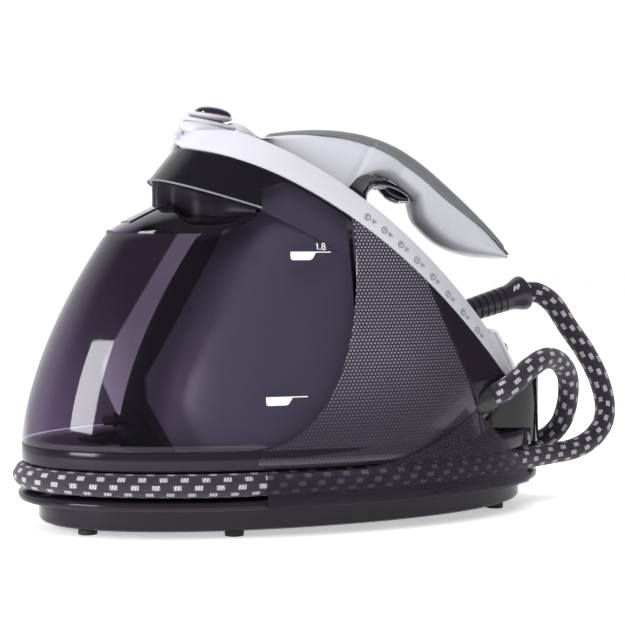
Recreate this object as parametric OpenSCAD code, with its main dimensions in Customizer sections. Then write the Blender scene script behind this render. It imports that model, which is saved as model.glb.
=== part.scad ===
// Steam generator iron: a base station with a detachable water tank and a
// sloping platform that holds the iron; the steam hose lies in the
// groove round the base. Millimetres, +Z up, the iron's tip and the tank
// point to -X, the hose leaves at +X. The origin is on the floor under the
// middle of the station.

/* [Base] */
// length of the base rim
base_len = 452; // [440:1:470]
// width of the base rim
base_wid = 232; // [225:1:245]
// height of the rim's underside
rim_z = 24.5; // [22:0.5:28]
// thickness of the rim
rim_t = 6.5; // [5:0.5:8]
// how far the plinth stands in from the rim
plinth_in = 18; // [14:1:22]
// clear height of the hose groove
groove_h = 23; // [26:0.5:32]
// radial depth of the hose groove
groove_d = 38; // [36:1:42]
// thickness of the deck above the groove
deck_t = 15; // [8:0.5:12]
// diameter of a rubber foot
foot_d = 15; // [12:1:18]

/* [Body] */
// exponent of the plan outline towards the front
plan_n = 2.3; // [2:0.1:2.8]
// wall of the moulded shells
wall = 3; // [2.4:0.2:4]
// height of the white platform rim
band_h = 23; // [18:1:28]
// thickness of the tank arms beside the core
arm_t = 10; // [9:1:12]
// wall of the clear tank
tank_wall = 2.6; // [2.2:0.2:3.4]

/* [Iron] */
// length of the soleplate
sole_len = 236; // [225:1:245]
// width of the soleplate
sole_wid = 116; // [108:1:120]
// slope of the parked iron
slope = 36.6; // [30:0.2:40]
// width of the handle
handle_w = 40; // [34:1:44]
// diameter of the trigger pin
pin_d = 3; // [2.5:0.5:4]

/* [Hose] */
// outside diameter of the braided steam hose
hose_d = 18; // [15:0.5:18]

/* [Fasteners] */
// diameter of the base screws
screw_d = 4; // [3:0.5:5]
// diameter of the base screw heads
head_d = 8; // [6:0.5:9]

/* [Hidden] */
a_rim = base_len / 2;
b_rim = base_wid / 2;
groove_z = rim_z + rim_t;
deck_z = groove_z + groove_h;
top_z = deck_z + deck_t;
xm = 20;
white = [0.87, 0.86, 0.91];
plum = [0.19, 0.14, 0.2];
gloss = [0.1, 0.1, 0.13];
satin = [0.22, 0.22, 0.26];
steel = [0.75, 0.75, 0.78];

// ---- outline of the body -------------------------------------------------
// front and rear edge of the body at height z, and its half width there
function xf(z) = -223 + 71 * pow(max(0, z - 60) / 177, 1.7);
function zf(x) = 60 + 177 * pow(max(0, x + 223) / 71, 1 / 1.7);
function xr(z) = z > 116 ? 201 - 0.54 * (z - 116)
  : 173 + 28 * pow(max(0, z - 80) / 36, 0.8);
function hw(z) = 113 - 50 * pow(max(0, z - 60) / 240, 1.25);
// half width at (x, z); f moves the front edge back, d moves the skin in
function yb(x, z, d = 0, f = 0) =
  let (a = x < xm ? (xm - x) / (xm - xf(z) - f - d) : (x - xm) / (xr(z) - d - xm),
       n = x < xm ? plan_n : 2.6)
  a >= 1 ? 0.4 : max(0.4, (hw(z) - d) * pow(1 - pow(a, n), 1 / n));
// lower edge of the white platform rim, and the plane under the iron
function z_low_raw(x) = 301 - 0.25 * (x + 88) - 0.0019 * pow(x + 88, 2);
function z_low(x) = x < -88 ? 301 + 0.3 * (-88 - x) : max(116, z_low_raw(x));
function z_band(x) = x < -60 ? z_low(x) + band_h - 0.25 * (-60 - x)
  : max(152, z_low_raw(x) + band_h);
function z_sole(x, w) = 227 + (w - (x - 37) * sin(slope)) / cos(slope);
function z_top(x) = min(z_low(x) - 1, z_sole(x, -9));
// shoulder line of the tank and rear edge of the tank's side
function z_deck(x) = x < -85 ? 234 : 234 + 19 * pow((x + 85) / 40, 1.3);
function z_tank(x) = x < -64 ? top_z + 0.4
  : 70 + 170 * (1 - pow(1 - pow(min(0.995, (x + 64) / 90), 2), 1 / 2.3));
function z_lip(x) = 277 - 0.32 * (x + 118);
// front face of the core behind the water space
core_f = 76;
function z_core(x) = x < -42.8 ? min(zf(x - core_f - 2.5), z_deck(x) - 7)
  : min(zf(x - core_f - 2.5), z_top(x) - 1.5);
function y_core(x, z, d = 0) = yb(x, z, d + arm_t + 2.2, core_f - arm_t + 1.5);

// even steps from a to b
function steps(a, b, n) = [for (i = [0:n]) a + (b - a) * i / n];

// closed solid over a side-view area: columns at each x from zl to zh, with
// its two skins at ya and yb (functions of x and z)
module skin(xs, zl, zh, ya, yb, n = 7) {
  m = len(xs) - 1;
  k = n + 1;
  q = (m + 1) * k;
  pa = [for (x = xs) for (j = [0:n]) let (z = zl(x) + (zh(x) - zl(x)) * j / n)
    [x, ya(x, z), z]];
  pb = [for (x = xs) for (j = [0:n]) let (z = zl(x) + (zh(x) - zl(x)) * j / n)
    [x, yb(x, z), z]];
  quads = concat(
    [for (i = [0:m - 1]) for (j = [0:n - 1])
      [i * k + j, i * k + j + 1, (i + 1) * k + j + 1, (i + 1) * k + j]],
    [for (i = [0:m - 1]) for (j = [0:n - 1])
      [q + i * k + j, q + (i + 1) * k + j, q + (i + 1) * k + j + 1, q + i * k + j + 1]],
    [for (i = [0:m - 1]) [i * k, (i + 1) * k, q + (i + 1) * k, q + i * k]],
    [for (i = [0:m - 1])
      [(i + 1) * k + n, i * k + n, q + i * k + n, q + (i + 1) * k + n]],
    [for (j = [0:n - 1]) [j + 1, j, q + j, q + j + 1]],
    [for (j = [0:n - 1])
      [m * k + j, m * k + j + 1, q + m * k + j + 1, q + m * k + j]]);
  polyhedron(concat(pa, pb),
    [for (f = quads) for (t = [[0, 1, 2], [0, 2, 3]]) [f[t[0]], f[t[1]], f[t[2]]]],
    convexity = 8);
}
module slab(xs, zl, zh, yy, n = 7)
  skin(xs, zl, zh, function (x, z) -yy(x, z), yy, n);

// flat plate with a superellipse outline
module plate(a, b, z0, z1, n = 2.1, k = 72)
  translate([0, 0, z0]) linear_extrude(z1 - z0)
    polygon([for (i = [0:k - 1]) let (t = i * 360 / k)
      [a * sign(cos(t)) * pow(abs(cos(t)), 2 / n),
       b * sign(sin(t)) * pow(abs(sin(t)), 2 / n)]]);
function y_rim(x, o = 0) =
  (b_rim + o) * pow(max(0.0001, 1 - pow(min(1, abs(x) / (a_rim + o)), 2.1)), 1 / 2.1);

// ---- base ----------------------------------------------------------------
module base_plinth() color(plum) difference() {
  plate(a_rim - plinth_in, b_rim - plinth_in, 5.5, rim_z);
  plate(a_rim - plinth_in - wall, b_rim - plinth_in - wall, 8.5, rim_z + 1);
  for (p = foot_pos) translate([p[0], p[1], 4]) cylinder(d = screw_d + 0.4, h = 8, $fn = 24);
}
module base_rim() color(plum) difference() {
  plate(a_rim, b_rim, rim_z, groove_z);
  plate(a_rim - groove_d - 12, b_rim - groove_d - 12, rim_z - 1, groove_z + 1);
}
module groove_hub() color(plum) difference() {
  plate(a_rim - groove_d, b_rim - groove_d, groove_z, deck_z);
  plate(a_rim - groove_d - wall, b_rim - groove_d - wall, groove_z - 1, deck_z + 1);
}
module deck() color(plum) difference() {
  plate(a_rim - 3, b_rim - 3, deck_z, top_z);
  plate(a_rim - groove_d - 12, b_rim - groove_d - 12, deck_z - 1, top_z + 1);
}
foot_pos = [[-178, -34], [-178, 34], [-72, -78], [-72, 78], [172, -42], [172, 42]];
module feet() color([0.08, 0.08, 0.09]) for (p = foot_pos)
  translate([p[0], p[1], 0]) cylinder(d = foot_d, h = 5.5, $fn = 48);
module base_screws() color(steel) for (p = foot_pos)
  translate([p[0], p[1], 5.5]) {
    cylinder(d = screw_d, h = 6, $fn = 24);
    translate([0, 0, 3]) cylinder(d = head_d, h = 3, $fn = 32);
  }
// smoky cover over the groove, on the side s
function z_cover(x) = x < 0 ? 53 : x < 125 ? 53 + 40 * pow(x / 125, 2.2)
  : 93 - 0.9 * (x - 125);
module hose_cover(s) color([0.2, 0.2, 0.24, 0.8])
  skin(steps(-57, 192, 27), function (x) rim_z + 0.5, function (x) z_cover(x),
    s < 0 ? function (x, z) -y_cover(x, z) - 2.2 : function (x, z) y_cover(x, z),
    s < 0 ? function (x, z) -y_cover(x, z) : function (x, z) y_cover(x, z) + 2.2, 6);
function y_cover(x, z) = max(y_rim(x, 0.6), z > deck_z - 2 ? yb(x, z) + 0.7 : 0);
module hose_cover_near() hose_cover(-1);
module hose_cover_far() hose_cover(1);

// ---- housing -------------------------------------------------------------
function y_house(x, z, d = 0) = x < 27 ? y_core(x, z, d) : yb(x, z, wall + 1 + d);
core_x = concat(steps(-144, -42.9, 12), steps(-42.7, 26.8, 8), steps(27.2, 166, 12));
core_in = concat(steps(-139, -45.1, 12), steps(-42, 26, 8), steps(31, 160, 10));
module core_shell() color(satin) difference() {
  slab(core_x, function (x) top_z, function (x) z_core(x), function (x, z) y_house(x, z));
  slab(core_in, function (x) top_z - 4, function (x) z_core(x - 2) - 4 - wall,
    function (x, z) y_house(x, z, wall));
  translate([-150, 0, 84]) rotate([0, 90, 0]) cylinder(r = 4.2, h = 22, $fn = 32);
  outlet_bore();
  knob_at() translate([0, 0, -16]) cylinder(d = 10.8, h = 30, $fn = 48);
}
function z_rear(x) = x < 92 ? z_low(x) - 0.4 : 186 - 2.55 * (x - 92);
function z_side(x) = x < 27.6 ? z_tank(min(26, x - 0.8)) - 2 : z_rear(x);
panel_x = concat(steps(-60, 26.4, 14), steps(28.4, 92, 8), steps(96, 132, 6));
module side_panel(s) color([0.25, 0.24, 0.3])
  skin(panel_x, function (x) top_z + 0.1, function (x) max(top_z + 1.2, z_side(x)),
    s < 0 ? function (x, z) -yb(x, z) : function (x, z) yb(x, z, wall),
    s < 0 ? function (x, z) -yb(x, z, wall) : function (x, z) yb(x, z), 7);
module side_panel_near() difference() {
  side_panel(-1);
  outlet_bore();
}
module side_panel_far() side_panel(1);
function z_tail(x) = x < 173 ? top_z + 0.1 : 80 + 36 * pow((x - 173) / 28, 1.25);
module rear_cover() color(plum) difference() {
  slab(concat(steps(93.4, 132, 6), steps(137, 200, 12)),
    function (x) max(top_z + 0.1, x < 132.9 ? z_rear(x) + 0.6 : z_tail(x)),
    function (x) z_low(x) - 1.3, function (x, z) yb(x, z));
  slab(concat(steps(90, 132, 6), steps(137, 188, 12)),
    function (x) x < 173 ? top_z - 5 : z_tail(x + 3) + 3,
    function (x) x < 178 ? z_low(x) + 5 : z_low(x) - 4, function (x, z) yb(x, z, wall));
  outlet_bore();
  knob_at() translate([0, 0, -16]) cylinder(d = 10.8, h = 30, $fn = 48);
}
function z_block(x) = x < 209 ? 85 + (x - 173) * 0.27 : 94.7 - 1.5 * (x - 209);
module rear_block() color([0.12, 0.12, 0.14]) difference() {
  slab(concat(steps(175, 209, 6), steps(212, 221, 3)), function (x) top_z + 0.1,
    function (x) min(z_block(x), x < 201 ? z_tail(x) - 0.6 : 200),
    function (x, z) 58 * pow(max(0.02, 1 - pow(max(0, x - 150) / 73.5, 3)), 1 / 3), 4);
  translate([200, 6, 80]) rotate([0, 90, 0]) cylinder(d = 10.4, h = 40, $fn = 32);
}

// ---- platform and carry lock --------------------------------------------
module platform_rim() color(white) difference() {
  slab(concat(steps(-98, -60, 8), steps(-50, 150, 16), steps(156, 194, 8)),
    function (x) x > 186 ? z_low(x) + (x - 186) * 0.2 : z_low(x),
    function (x) z_band(x),
    function (x, z) yb(x, z), 4);
  slab(concat(steps(-90, -60, 8), steps(-50, 150, 16), steps(156, 186, 6)),
    function (x) z_low(x) - 8, function (x) z_band(x) + 8,
    function (x, z) yb(x, z, 4.5), 4);
  park() translate([-190, -22.5, -30]) cube([72, 45, 60]);
  for (p = button_pos) translate(p) rotate([0, 90, 0])
    translate([0, 0, -12]) cylinder(d = 12.8, h = 30, $fn = 48);
}
// places a child drawn on a level soleplate onto the sloping platform
module park() translate([37, 0, 227]) rotate([0, slope, 0]) children();
// half width of the soleplate at s from tip (0) to heel (1)
function sole_y(s) = sole_wid / 2 * pow(sin(90 * min(1, s / 0.7)), 0.8)
  * (s < 0.86 ? 1 : pow(max(0, 1 - pow((s - 0.86) / 0.145, 2.4)), 1 / 2.4));
sole_s = concat(steps(0.004, 0.1, 5), steps(0.15, 0.85, 14), steps(0.88, 0.995, 7));
function sole_pts(o) = let (h = [for (s = sole_s)
    [(s - 0.5) * (sole_len + 2 * o), max(0.5, sole_y(s) + o)]])
  concat(h, [for (i = [len(h) - 1:-1:0]) [h[i][0], -h[i][1]]]);
module sole_plate(o, z0, z1)
  translate([0, 0, z0]) linear_extrude(z1 - z0) polygon(sole_pts(o));
module platform_tray() color([0.16, 0.16, 0.18]) park() difference() {
  sole_plate(1.5, -7.5, -3);
  translate([0, 0, -10]) cylinder(d = 30, h = 20, $fn = 48);
  translate([-193, -60, -20]) cube([100, 120, 40]);
}
pad_pos = [[-84, 0, 10], [-30, 36, 12], [-30, -36, 12], [82, 38, 12], [82, -38, 12]];
module rest_pads() color([0.08, 0.08, 0.09]) park() for (p = pad_pos)
  translate([p[0], p[1], -3]) cylinder(d = p[2], h = 2.7, $fn = 40);
module lock_housing() color(white) park() difference() {
  slab(steps(-162, -119, 12), function (x) x < -150 ? 2 - 7 * (x + 162) / 12 : -5,
    function (x) 15 - 13 * pow((-119 - x) / 43, 3),
    function (x, z) 20 - 12 * pow((-119 - x) / 43, 2), 4);
  translate([-150, -6.3, 7.6]) cube([40, 12.6, 5.8]);
  translate([-152, -8.3, 9]) cube([28.5, 16.6, 12]);
}
module carry_lock_slide() color([0.24, 0.13, 0.26]) park() {
  translate([-148, -6, 8]) cube([28.5, 12, 5]);
  hull() for (x = [-143, -135]) for (s = [-1, 1])
    translate([x, s * 4, 12.5]) cylinder(r1 = 5.5 - abs(s) * 2, r2 = 2.5, h = 9, $fn = 24);
}

// ---- rear fittings and internals -----------------------------------------
module outlet_at() translate([143, -86, 99]) rotate([0, 64.5, -17.4]) children();
module outlet_bore() outlet_at() translate([0, 0, -60]) cylinder(d = 21, h = 90, $fn = 48);
module hose_outlet() color([0.14, 0.13, 0.16]) outlet_at() difference() {
  translate([0, 0, -26]) cylinder(d = 20.4, h = 30, $fn = 48);
  translate([0, 0, -2]) cylinder(d = hose_d + 0.6, h = 8, $fn = 48);
}
module mains_inlet() color([0.1, 0.1, 0.11])
  translate([201, 6, 80]) rotate([0, 90, 0]) difference() {
    union() {
      cylinder(d = 10, h = 20, $fn = 40);
      translate([0, 0, 20]) cylinder(d1 = 16, d2 = 11, h = 4.6, $fn = 40);
    }
    translate([0, 0, 15]) cylinder(d = 7, h = 20, $fn = 32);
  }
button_pos = [[180, -22, 134], [180, 22, 134]];
module button_cap(p) translate(p) rotate([0, 90, 0]) {
  cylinder(d = 12, h = 11, $fn = 48);
  translate([0, 0, 11]) cylinder(d1 = 12, d2 = 10.5, h = 1, $fn = 48);
}
module power_button() color([0.24, 0.24, 0.27]) button_cap(button_pos[0]);
module eco_button() color([0.2, 0.42, 0.24]) button_cap(button_pos[1]);
module knob_at() translate([150, 80.8, 92]) rotate([0, 0, -37]) rotate([-90, 0, 0]) children();
module descale_knob() color([0.16, 0.16, 0.18]) knob_at() {
  translate([0, 0, -10]) cylinder(d = 10, h = 16, $fn = 48);
  translate([0, 0, 6]) difference() {
    cylinder(d = 26, h = 7, $fn = 72);
    for (a = [0:30:330]) rotate(a) translate([14, 0, -1]) cylinder(d = 4, h = 9, $fn = 24);
  }
}
module boiler() color(steel) translate([-5, 0, 118]) rotate([0, 90, 0]) difference() {
  union() {
    cylinder(r = 36, h = 104, $fn = 72);
    translate([0, 0, -3]) cylinder(r = 30, h = 110, $fn = 72);
  }
  translate([0, 0, 1]) cylinder(r = 33.5, h = 102, $fn = 72);
}
module boiler_clamps() color([0.5, 0.5, 0.53]) for (x = [14, 78])
  translate([x, 0, 118]) rotate([0, 90, 0]) difference() {
    union() {
      cylinder(r = 39.5, h = 8, $fn = 72);
      translate([0, -30, 0]) cube([118 - top_z + 6, 60, 8]);
    }
    translate([0, 0, -1]) cylinder(r = 36, h = 10, $fn = 72);
  }
module pump() color([0.75, 0.62, 0.35]) translate([-104, 0, 100]) rotate([0, 90, 0]) {
  cylinder(d = 12, h = 70, $fn = 40);
  translate([0, 0, 16]) cylinder(d = 40, h = 34, $fn = 60);
  translate([0, 0, 50]) cylinder(d = 24, h = 10, $fn = 48);
}
module pump_mounts() color([0.1, 0.1, 0.11]) for (x = [-98, -40])
  translate([x, -16, top_z - 3]) difference() {
    cube([6, 32, 100 - top_z + 13]);
    translate([-1, 16, 103 - top_z]) rotate([0, 90, 0]) cylinder(d = 12, h = 8, $fn = 40);
  }
module solenoid_valve() color([0.8, 0.68, 0.3]) translate([122, 0, top_z - 3]) {
  cylinder(d = 30, h = 26, $fn = 48);
  translate([0, 0, 26]) cylinder(d = 16, h = 12, $fn = 40);
}
module control_board() color([0.1, 0.35, 0.2]) translate([-62, 26, 150]) {
  cube([78, 1.6, 50]);
  translate([8, -9, 8]) cube([16, 9, 22]);
  translate([36, -12, 14]) cube([20, 12, 20]);
  translate([60, -6, 10]) cube([8, 6, 8]);
}
module water_port() color([0.7, 0.7, 0.72])
  translate([-158, 0, 84]) rotate([0, 90, 0]) difference() {
    union() {
      cylinder(r = 4, h = 48, $fn = 40);
      translate([0, 0, 26]) cylinder(r = 8, h = 3, $fn = 40);
    }
    translate([0, 0, -1]) cylinder(r = 2.2, h = 40, $fn = 32);
  }

// ---- water tank ----------------------------------------------------------
module tank_outer(d)
  slab(concat(steps(-219 + 1.6 * d, -152, 12), steps(-146, -46 - d, 12),
      steps(-44 - d / 2, 25.4 - d, 10)),
    function (x) (x < -66 ? z_tank(x) : z_tank(x + d * 0.5)) + d,
    function (x) max(z_tank(x) + 2 + d, (x < -45 - d / 2 ? min(zf(x - d), z_deck(x)) : z_low(x) - 1) - d),
    function (x, z) yb(x, z, d), 7);
module core_space(d) {
  slab(steps(-145.5 - d, -44 + d, 12), function (x) top_z - 4,
    function (x) min(zf(x - core_f + 1.5 + d), z_deck(x) - 4.6 + d),
    function (x, z) yb(x, z, arm_t - d, core_f - arm_t - 2.5 - d));
  slab(steps(-44.6 + d, 30, 8), function (x) top_z - 4, function (x) 330,
    function (x, z) yb(x, z, arm_t - d, core_f - arm_t - 2.5 - d));
}
module fill_hole(r) translate([-122, 0, 200]) cylinder(r = r, h = 80, $fn = 48);
module tank_shell() color([0.35, 0.28, 0.4, 0.5]) difference() {
  tank_outer(0);
  difference() {
    tank_outer(tank_wall);
    core_space(tank_wall);
  }
  core_space(0);
  translate([-170, 0, 84]) rotate([0, 90, 0]) cylinder(r = 6, h = 40, $fn = 40);
  fill_hole(12);
}
module tank_seal() color([0.1, 0.1, 0.11])
  translate([-149.5, 0, 84]) rotate([0, 90, 0]) difference() {
    cylinder(r = 6, h = 2.4, $fn = 40);
    translate([0, 0, -1]) cylinder(r = 4.3, h = 5, $fn = 40);
  }
function z_crown(x) = x < -108 ? 237 + 22 * pow((x + 150) / 42, 0.9)
  : x < -96 ? 259 - 10 * sin((x + 108) / 12 * 90) : 249 + 0.02 * (x + 96);
function y_dome(x, z, d = 0) = let (b = z_deck(x), c = max(b + 1, z_crown(x) - d))
  max(0.5, (yb(x, b) - 3 - d) * sqrt(max(0.0001, 1 - pow(max(0, z - b) / (c - b + 0.2), 2.4))));
module tank_top() color([0.28, 0.2, 0.31]) difference() {
  slab(concat(steps(-149, -108, 8), steps(-105, -96, 3), steps(-90, -47, 7)),
    function (x) z_deck(x) + 0.4,
    function (x) max(z_deck(x) + 1.4, z_crown(x)), function (x, z) y_dome(x, z), 7);
  slab(concat(steps(-136, -108, 6), steps(-105, -74, 6)), function (x) z_deck(x) - 4,
    function (x) z_crown(x) - 3, function (x, z) y_dome(x, z, 3), 6);
  fill_hole(13);
}
module tank_hood() color(gloss) difference() {
  slab(concat(steps(-117, -88, 8), steps(-84, -46, 8)), function (x) z_lip(x),
    function (x) min(zf(x - 5), z_low(x) - 1), function (x, z) yb(x, z, 0, 4), 5);
  slab(concat(steps(-108, -88, 5), steps(-84, -49, 7)), function (x) z_lip(x) + 3,
    function (x) min(zf(x - 8) - 4, z_low(x) - 4.5), function (x, z) yb(x, z, 3, 4), 4);
}
door_x = -141;
door_z = 245;
module fill_door() color([0.2, 0.15, 0.22])
  translate([door_x, 0, door_z]) rotate([0, -29, 0]) {
    translate([1, -17, -1.2]) cube([36, 34, 2.6]);
    rotate([90, 0, 0]) cylinder(d = 3, h = 34, center = true, $fn = 32);
    translate([34, -8, 1]) cube([3, 16, 1.6]);
  }

// ---- iron ----------------------------------------------------------------
module soleplate() color(steel) park() difference() {
  sole_plate(0, 0, 6);
  for (s = [-1, 1]) for (i = [0:6]) translate([-92 + i * 22, s * (12 + i * 4.6), -1])
    cylinder(d = 3, h = 3, $fn = 16);
}
module heater_casting() color([0.55, 0.55, 0.57]) park() sole_plate(-9, 6, 17);
module heat_shield() color([0.1, 0.1, 0.11]) park() sole_plate(-5, 17, 20);
// dark lower body, closing in towards its deck
function w_deck(u) = u < -20 ? 30 : 30 - 9 * pow((u + 20) / 136, 1.2);
function y_skirt(u, w, o = 0) = let (t = (w - 20) / 12,
    s = min(0.99, max(0.012, (u + sole_len / 2) / sole_len)))
  max(1, sole_y(s) - 3 - 8 * pow(max(0, t), 1.6) - o);
module iron_skirt() color(plum) park() difference() {
  slab(concat(steps(-111, -90, 5), steps(-80, 90, 14), steps(95, 114, 6)),
    function (u) 20, function (u) w_deck(u), function (u, w) y_skirt(u, w), 4);
  slab(concat(steps(-98, -88, 3), steps(-80, 108, 14)),
    function (u) 18, function (u) w_deck(u) - wall, function (u, w) y_skirt(u, w, wall), 4);
}
// top line of the handle, and the underside over the finger gap
function w_top(u) = u < 30 ? 103 - 60 * pow((30 - u) / 124.5, 2.12) : 103 - 11.5 * pow((u - 30) / 115, 2);
function w_under(u) = u < -23 ? 30.1 : u < 14 ? 72 - 27 * pow((14 - u) / 37, 2.6)
  : u < 36 ? 72 : u < 58 ? 72 - 13.5 * pow(sin((u - 36) / 22 * 90), 1.2)
  : 57 + 1.5 * pow((76 - u) / 18, 2) * (u < 76 ? 1 : 0)
    + (u < 76 ? 0 : 31 * pow((u - 76) / 66, 1.75));
function y_handle(u, w) = let (b = w_under(u), h = max(1, w_top(u) - 4.6 - b),
    t = min(1, max(0, (w - b) / h)), k = handle_w / 2,
    m = min(1, max(0, (u + 30) / 40)), e = u > 100 ? sqrt(max(0.05, 1 - pow((u - 100) / 46, 2))) : 1,
    col = max(6, y_skirt(u, 32)) * pow(1 - t, 0.75) + 15 * pow(t, 0.6),
    han = k * e * (0.45 + 0.55 * sqrt(max(0, 1 - pow(2 * t - 1, 2)))))
  max(2, col * (1 - m) + han * m);
hand_x = concat(steps(-109, -96, 4), steps(-88, -24, 9), steps(-22.6, -8, 8),
  steps(-2, 34, 7), steps(38, 58, 7), steps(64, 100, 6), steps(108, 140, 9));
module handle_shell() color(white) park() difference() {
  slab(hand_x, function (u) w_under(u), function (u) max(w_under(u) + 1, w_top(u) - 4.6),
    function (u, w) y_handle(u, w), 6);
  slab([for (u = hand_x) if (u > -84 && u < 118) u + 0.7], function (u) w_under(u) + 3.4,
    function (u) w_top(u) - 8, function (u, w) max(1.5, y_handle(u, w) - wall), 5);
}
function y_grip(u) = u > 100 ? 15 * sqrt(max(0.05, 1 - pow((u - 100) / 44, 2)))
  : u < -60 ? 15 - 8 * pow((-60 - u) / 36, 1.5) : 15;
module grip() color([0.43, 0.44, 0.47]) park()
  slab([for (u = hand_x) if (u > -97) u], function (u) max(w_under(u) + 1, w_top(u) - 4.6),
    function (u) max(w_under(u) + 2.2, w_top(u)),
    function (u, w) let (b = w_top(u) - 4.6) y_grip(u) * (1 - 0.45 * pow(max(0, min(1, (w - b) / 4.6)), 2)), 3);
// dark liner wrapped round the front of the finger gap
module handle_liner() color([0.24, 0.16, 0.26]) park()
  slab(concat(steps(-21.5, -8, 7), steps(-2, 8, 3)),
    function (u) 30.2 + 0.001 * u, function (u) w_under(u) - 0.8 - max(0, (u + 8) * 0.9),
    function (u, w) let (t = (w - 30) / 40) 24 - 8 * pow(max(0, min(1, t)), 1.2)
      - max(0, u + 8) * 0.3, 5);
module trigger_pin() color(steel) park()
  translate([6, 0, 66]) rotate([90, 0, 0]) cylinder(d = pin_d, h = 20, center = true, $fn = 32);
module trigger_lugs() color(steel) park() for (s = [-1, 1])
  translate([6, s * 9 + 1.5, 66]) rotate([90, 0, 0]) difference() {
    hull() {
      cylinder(d = 8, h = 3, $fn = 32);
      translate([-3, 4.2, 0]) cube([7, 0.4, 3]);
    }
    translate([0, 0, -1]) cylinder(d = pin_d, h = 5, $fn = 32);
  }
module trigger() color([0.24, 0.13, 0.26]) park() translate([6, 0, 66]) difference() {
  union() {
    rotate([90, 0, 0]) cylinder(d = 7, h = 14, center = true, $fn = 36);
    hull() {
      translate([2, -7, -3.4]) cube([2, 14, 5.4]);
      translate([15, -6.5, -8.2]) cube([2, 13, 6]);
    }
    hull() {
      translate([15, -6.5, -8.2]) cube([2, 13, 6]);
      translate([27, -6, -5]) cube([2, 12, 4]);
    }
  }
  rotate([90, 0, 0]) cylinder(d = pin_d + 0.5, h = 40, center = true, $fn = 32);
}
module steam_switch() color([0.1, 0.1, 0.11]) park() translate([17, -5, 68.2])
  cube([12, 10, 3.7]);
// strain relief: ribbed sleeve and flared mouth
module gland_at() translate([165, 0, 166.5]) rotate([0, 74, 0]) children();
module cord_gland() color([0.16, 0.13, 0.18]) difference() {
  union() {
    hull() for (p = [[91, 23.2, 9], [98, 26, 7]])
      park() translate([p[0], -9, p[1]]) cube([2, 18, p[2]]);
    hull() {
      park() translate([98, -9, 26]) cube([2, 18, 7]);
      gland_at() translate([0, 0, -8]) cylinder(d = 20, h = 8, $fn = 32);
    }
  }
  gland_at() translate([0, 0, -2]) cylinder(d = 14, h = 12, $fn = 32);
}
module cord_sleeve() color([0.2, 0.17, 0.22]) gland_at() difference() {
  union() {
    translate([0, 0, 0.1]) cylinder(d = 19, h = 44, $fn = 48);
    for (i = [0:5]) translate([0, 0, 4 + i * 6.5]) cylinder(d = 22.5, h = 3.4, $fn = 48);
    translate([0, 0, 42]) cylinder(d1 = 22, d2 = 30, h = 12, $fn = 48);
    translate([0, 0, 54]) cylinder(d1 = 30, d2 = 27, h = 5, $fn = 48);
  }
  translate([0, 0, 52]) cylinder(d = hose_d + 0.6, h = 10, $fn = 48);
}
module iron_screws() color(steel) park() for (p = [[-60, 14], [-60, -14], [70, 30], [70, -30]])
  translate([p[0], p[1], 20.2]) translate([0, 0, -6]) cylinder(d = screw_d, h = 5.7, $fn = 24);

// ---- hose ----------------------------------------------------------------
// smooth curve through the route points
function cr(p, i, t) = let (n = len(p) - 1, a = p[max(0, i - 1)], b = p[i],
    c = p[min(n, i + 1)], d = p[min(n, i + 2)])
  0.5 * (2 * b + (c - a) * t + (2 * a - 5 * b + 4 * c - d) * t * t
    + (3 * b - a - 3 * c + d) * t * t * t);
function curve(p, k) = concat([for (i = [0:len(p) - 2]) for (j = [0:k - 1]) cr(p, i, j / k)],
  [p[len(p) - 1]]);
function unit(v) = v / norm(v);
// tube swept along the points, ten sides, rings square to the path
module tube(c, d, first, last) {
  m = len(c) - 1;
  tan = [for (i = [0:m]) i == 0 ? first : i == m ? last : unit(c[i + 1] - c[i - 1])];
  pts = [for (i = [0:m]) let (s = unit(cross(tan[i], [0.02, 0.03, 1])), w = cross(s, tan[i]))
    for (k = [0:9]) c[i] + d / 2 * (s * cos(36 * k) + w * sin(36 * k))];
  faces = concat(
    [for (i = [0:m - 1]) for (k = [0:9]) let (a = i * 10 + k, b = i * 10 + (k + 1) % 10)
      for (f = [[a, b, b + 10], [a, b + 10, a + 10]]) f],
    [[for (k = [9:-1:0]) k]], [[for (k = [0:9]) m * 10 + k]]);
  polyhedron(pts, [for (f = faces) [for (i = [len(f) - 1:-1:0]) f[i]]], convexity = 10);
}
// oval path in the groove at t degrees from +X on the near side
function groove(t, o, z) = [(a_rim - o) * cos(t), -(b_rim - o) * sin(t), z];
hose_a = [[215.2, 0, 180.9], [232, -1, 183], [249, -3, 173], [264, -6, 151],
  [278, -12, 129], [288, -18, 106], [292, -23, 84]];
hose_b = concat([[291.995, -23.025, 83.9], [286, -30, 67], [271, -36, 54], [250, -41, 46.5],
    [226, -46, 44.5], [197, -55, 43.5]],
  [for (t = [44:17:320]) groove(t, t < 104 || t > 256 ? 11 : 5, 43.5)],
  [[184, 54, 43.5], [207, 36, 43.5], [226, 15, 45], [239, -6, 51], [246, -22, 65],
    [248, -31, 82], [246, -38, 98], [240, -46, 112], [227, -56, 124], [207, -69, 129.5],
    [185, -81, 123.5], [163, -88.5, 110], [143, -86, 99]]);
module hose_iron() color([0.18, 0.13, 0.2]) tube(curve(hose_a, 3), hose_d,
  unit([sin(74), 0, cos(74)]), unit([-0.05, -0.25, -1]));
module hose_station() color([0.18, 0.13, 0.2]) tube(curve(hose_b, 2), hose_d,
  unit([-0.05, -0.25, -1]), -unit([0.86, -0.27, 0.43]));

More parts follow.
